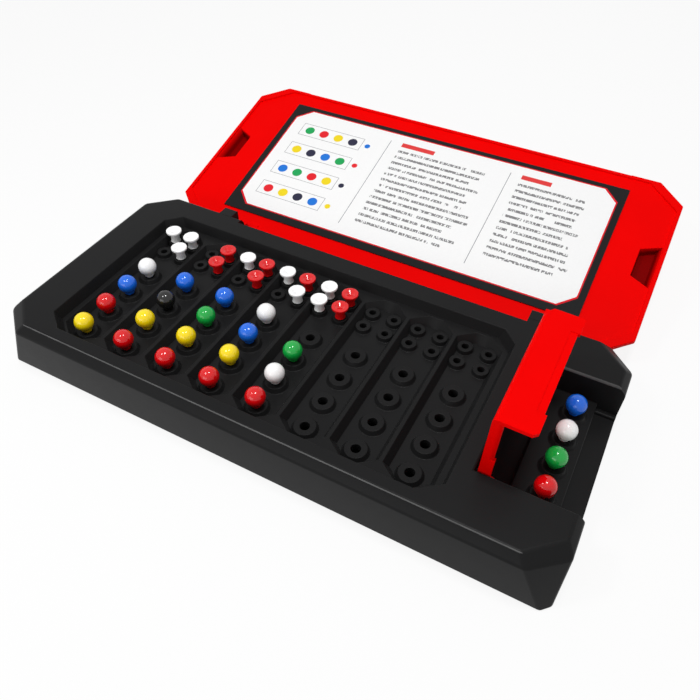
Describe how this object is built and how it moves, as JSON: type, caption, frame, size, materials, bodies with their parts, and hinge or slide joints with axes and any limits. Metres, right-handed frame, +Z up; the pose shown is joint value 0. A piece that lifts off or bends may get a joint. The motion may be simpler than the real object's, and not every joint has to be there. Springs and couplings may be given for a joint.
{
  "type": "code breaking peg game",
  "caption": "Hinged travel case with a peg board of bays, a fold-down code shield, loose code and key pegs, and a lid with a rules card.",
  "frame": {"origin": "middle of the case's underside, on the surface it stands on", "axes": "+X along the board towards the secret code, +Y from the player towards the lid, +Z up"},
  "size_m": [0.284, 0.251, 0.0627],
  "materials": {
    "case_black": "fine satin texture",
    "lid_red": "satin",
    "peg_red": "gloss",
    "peg_yellow": "gloss",
    "peg_blue": "gloss",
    "peg_green": "gloss",
    "peg_white": "gloss",
    "peg_black": "gloss",
    "card_print": "printed card",
    "pin_steel": "plain"
  },
  "bodies": {
    "case": {"case_top": "case_black", "bottom_cover": "case_black", "cover_screw_1": "pin_steel", "cover_screw_2": "pin_steel", "cover_screw_3": "pin_steel", "cover_screw_4": "pin_steel", "hinge_pin_left": "pin_steel", "hinge_pin_right": "pin_steel"},
    "lid": {"lid_panel": "lid_red", "lid_cover": "lid_red", "rules_card": "card_print"},
    "shield": {"code_shield": "lid_red"},
    "code_peg_bay1_row1": {"code_peg_bay1_row1": "peg_yellow"},
    "code_peg_bay1_row2": {"code_peg_bay1_row2": "peg_red"},
    "code_peg_bay1_row3": {"code_peg_bay1_row3": "peg_blue"},
    "code_peg_bay1_row4": {"code_peg_bay1_row4": "peg_white"},
    "code_peg_bay2_row1": {"code_peg_bay2_row1": "peg_red"},
    "code_peg_bay2_row2": {"code_peg_bay2_row2": "peg_yellow"},
    "code_peg_bay2_row3": {"code_peg_bay2_row3": "peg_black"},
    "code_peg_bay2_row4": {"code_peg_bay2_row4": "peg_blue"},
    "code_peg_bay3_row1": {"code_peg_bay3_row1": "peg_red"},
    "code_peg_bay3_row2": {"code_peg_bay3_row2": "peg_yellow"},
    "code_peg_bay3_row3": {"code_peg_bay3_row3": "peg_green"},
    "code_peg_bay3_row4": {"code_peg_bay3_row4": "peg_blue"},
    "code_peg_bay4_row1": {"code_peg_bay4_row1": "peg_red"},
    "code_peg_bay4_row2": {"code_peg_bay4_row2": "peg_yellow"},
    "code_peg_bay4_row3": {"code_peg_bay4_row3": "peg_blue"},
    "code_peg_bay4_row4": {"code_peg_bay4_row4": "peg_white"},
    "code_peg_bay5_row1": {"code_peg_bay5_row1": "peg_red"},
    "code_peg_bay5_row2": {"code_peg_bay5_row2": "peg_white"},
    "code_peg_bay5_row3": {"code_peg_bay5_row3": "peg_green"},
    "secret_peg_1": {"secret_peg_1": "peg_red"},
    "secret_peg_2": {"secret_peg_2": "peg_green"},
    "secret_peg_3": {"secret_peg_3": "peg_white"},
    "secret_peg_4": {"secret_peg_4": "peg_blue"},
    "key_peg_bay1_back_left": {"key_peg_bay1_back_left": "peg_white"},
    "key_peg_bay1_back_right": {"key_peg_bay1_back_right": "peg_white"},
    "key_peg_bay1_front_right": {"key_peg_bay1_front_right": "peg_white"},
    "key_peg_bay2_back_right": {"key_peg_bay2_back_right": "peg_red"},
    "key_peg_bay2_front_right": {"key_peg_bay2_front_right": "peg_red"},
    "key_peg_bay3_back_left": {"key_peg_bay3_back_left": "peg_white"},
    "key_peg_bay3_back_right": {"key_peg_bay3_back_right": "peg_red"},
    "key_peg_bay3_front_right": {"key_peg_bay3_front_right": "peg_red"},
    "key_peg_bay4_back_left": {"key_peg_bay4_back_left": "peg_white"},
    "key_peg_bay4_back_right": {"key_peg_bay4_back_right": "peg_red"},
    "key_peg_bay4_front_right": {"key_peg_bay4_front_right": "peg_white"},
    "key_peg_bay5_back_left": {"key_peg_bay5_back_left": "peg_white"},
    "key_peg_bay5_back_right": {"key_peg_bay5_back_right": "peg_red"},
    "key_peg_bay5_front_left": {"key_peg_bay5_front_left": "peg_white"},
    "key_peg_bay5_front_right": {"key_peg_bay5_front_right": "peg_red"}
  },
  "joints": [
    {"name": "lid_hinge", "type": "hinge", "parent": "case", "child": "lid", "pos_m": [0, 0.064, 0.0209], "axis": [1, 0, 0], "range_deg": [0, 118]},
    {"name": "shield_hinge", "type": "hinge", "parent": "case", "child": "shield", "pos_m": [0.103, 0, 0.02365], "axis": [0, 1, 0], "range_deg": [0, 88.9]},
    {"name": "code_peg_bay1_row1_lift", "type": "slide", "parent": "case", "child": "code_peg_bay1_row1", "axis": [0, 0, 1], "range_m": [0, 0.02]},
    {"name": "code_peg_bay1_row2_lift", "type": "slide", "parent": "case", "child": "code_peg_bay1_row2", "axis": [0, 0, 1], "range_m": [0, 0.02]},
    {"name": "code_peg_bay1_row3_lift", "type": "slide", "parent": "case", "child": "code_peg_bay1_row3", "axis": [0, 0, 1], "range_m": [0, 0.02]},
    {"name": "code_peg_bay1_row4_lift", "type": "slide", "parent": "case", "child": "code_peg_bay1_row4", "axis": [0, 0, 1], "range_m": [0, 0.02]},
    {"name": "code_peg_bay2_row1_lift", "type": "slide", "parent": "case", "child": "code_peg_bay2_row1", "axis": [0, 0, 1], "range_m": [0, 0.02]},
    {"name": "code_peg_bay2_row2_lift", "type": "slide", "parent": "case", "child": "code_peg_bay2_row2", "axis": [0, 0, 1], "range_m": [0, 0.02]},
    {"name": "code_peg_bay2_row3_lift", "type": "slide", "parent": "case", "child": "code_peg_bay2_row3", "axis": [0, 0, 1], "range_m": [0, 0.02]},
    {"name": "code_peg_bay2_row4_lift", "type": "slide", "parent": "case", "child": "code_peg_bay2_row4", "axis": [0, 0, 1], "range_m": [0, 0.02]},
    {"name": "code_peg_bay3_row1_lift", "type": "slide", "parent": "case", "child": "code_peg_bay3_row1", "axis": [0, 0, 1], "range_m": [0, 0.02]},
    {"name": "code_peg_bay3_row2_lift", "type": "slide", "parent": "case", "child": "code_peg_bay3_row2", "axis": [0, 0, 1], "range_m": [0, 0.02]},
    {"name": "code_peg_bay3_row3_lift", "type": "slide", "parent": "case", "child": "code_peg_bay3_row3", "axis": [0, 0, 1], "range_m": [0, 0.02]},
    {"name": "code_peg_bay3_row4_lift", "type": "slide", "parent": "case", "child": "code_peg_bay3_row4", "axis": [0, 0, 1], "range_m": [0, 0.02]},
    {"name": "code_peg_bay4_row1_lift", "type": "slide", "parent": "case", "child": "code_peg_bay4_row1", "axis": [0, 0, 1], "range_m": [0, 0.02]},
    {"name": "code_peg_bay4_row2_lift", "type": "slide", "parent": "case", "child": "code_peg_bay4_row2", "axis": [0, 0, 1], "range_m": [0, 0.02]},
    {"name": "code_peg_bay4_row3_lift", "type": "slide", "parent": "case", "child": "code_peg_bay4_row3", "axis": [0, 0, 1], "range_m": [0, 0.02]},
    {"name": "code_peg_bay4_row4_lift", "type": "slide", "parent": "case", "child": "code_peg_bay4_row4", "axis": [0, 0, 1], "range_m": [0, 0.02]},
    {"name": "code_peg_bay5_row1_lift", "type": "slide", "parent": "case", "child": "code_peg_bay5_row1", "axis": [0, 0, 1], "range_m": [0, 0.02]},
    {"name": "code_peg_bay5_row2_lift", "type": "slide", "parent": "case", "child": "code_peg_bay5_row2", "axis": [0, 0, 1], "range_m": [0, 0.02]},
    {"name": "code_peg_bay5_row3_lift", "type": "slide", "parent": "case", "child": "code_peg_bay5_row3", "axis": [0, 0, 1], "range_m": [0, 0.02]},
    {"name": "secret_peg_1_lift", "type": "slide", "parent": "case", "child": "secret_peg_1", "axis": [0, 0, 1], "range_m": [0, 0.02]},
    {"name": "secret_peg_2_lift", "type": "slide", "parent": "case", "child": "secret_peg_2", "axis": [0, 0, 1], "range_m": [0, 0.02]},
    {"name": "secret_peg_3_lift", "type": "slide", "parent": "case", "child": "secret_peg_3", "axis": [0, 0, 1], "range_m": [0, 0.02]},
    {"name": "secret_peg_4_lift", "type": "slide", "parent": "case", "child": "secret_peg_4", "axis": [0, 0, 1], "range_m": [0, 0.02]},
    {"name": "key_peg_bay1_back_left_lift", "type": "slide", "parent": "case", "child": "key_peg_bay1_back_left", "axis": [0, 0, 1], "range_m": [0, 0.02]},
    {"name": "key_peg_bay1_back_right_lift", "type": "slide", "parent": "case", "child": "key_peg_bay1_back_right", "axis": [0, 0, 1], "range_m": [0, 0.02]},
    {"name": "key_peg_bay1_front_right_lift", "type": "slide", "parent": "case", "child": "key_peg_bay1_front_right", "axis": [0, 0, 1], "range_m": [0, 0.02]},
    {"name": "key_peg_bay2_back_right_lift", "type": "slide", "parent": "case", "child": "key_peg_bay2_back_right", "axis": [0, 0, 1], "range_m": [0, 0.02]},
    {"name": "key_peg_bay2_front_right_lift", "type": "slide", "parent": "case", "child": "key_peg_bay2_front_right", "axis": [0, 0, 1], "range_m": [0, 0.02]},
    {"name": "key_peg_bay3_back_left_lift", "type": "slide", "parent": "case", "child": "key_peg_bay3_back_left", "axis": [0, 0, 1], "range_m": [0, 0.02]},
    {"name": "key_peg_bay3_back_right_lift", "type": "slide", "parent": "case", "child": "key_peg_bay3_back_right", "axis": [0, 0, 1], "range_m": [0, 0.02]},
    {"name": "key_peg_bay3_front_right_lift", "type": "slide", "parent": "case", "child": "key_peg_bay3_front_right", "axis": [0, 0, 1], "range_m": [0, 0.02]},
    {"name": "key_peg_bay4_back_left_lift", "type": "slide", "parent": "case", "child": "key_peg_bay4_back_left", "axis": [0, 0, 1], "range_m": [0, 0.02]},
    {"name": "key_peg_bay4_back_right_lift", "type": "slide", "parent": "case", "child": "key_peg_bay4_back_right", "axis": [0, 0, 1], "range_m": [0, 0.02]},
    {"name": "key_peg_bay4_front_right_lift", "type": "slide", "parent": "case", "child": "key_peg_bay4_front_right", "axis": [0, 0, 1], "range_m": [0, 0.02]},
    {"name": "key_peg_bay5_back_left_lift", "type": "slide", "parent": "case", "child": "key_peg_bay5_back_left", "axis": [0, 0, 1], "range_m": [0, 0.02]},
    {"name": "key_peg_bay5_back_right_lift", "type": "slide", "parent": "case", "child": "key_peg_bay5_back_right", "axis": [0, 0, 1], "range_m": [0, 0.02]},
    {"name": "key_peg_bay5_front_left_lift", "type": "slide", "parent": "case", "child": "key_peg_bay5_front_left", "axis": [0, 0, 1], "range_m": [0, 0.02]},
    {"name": "key_peg_bay5_front_right_lift", "type": "slide", "parent": "case", "child": "key_peg_bay5_front_right", "axis": [0, 0, 1], "range_m": [0, 0.02]}
  ]
}
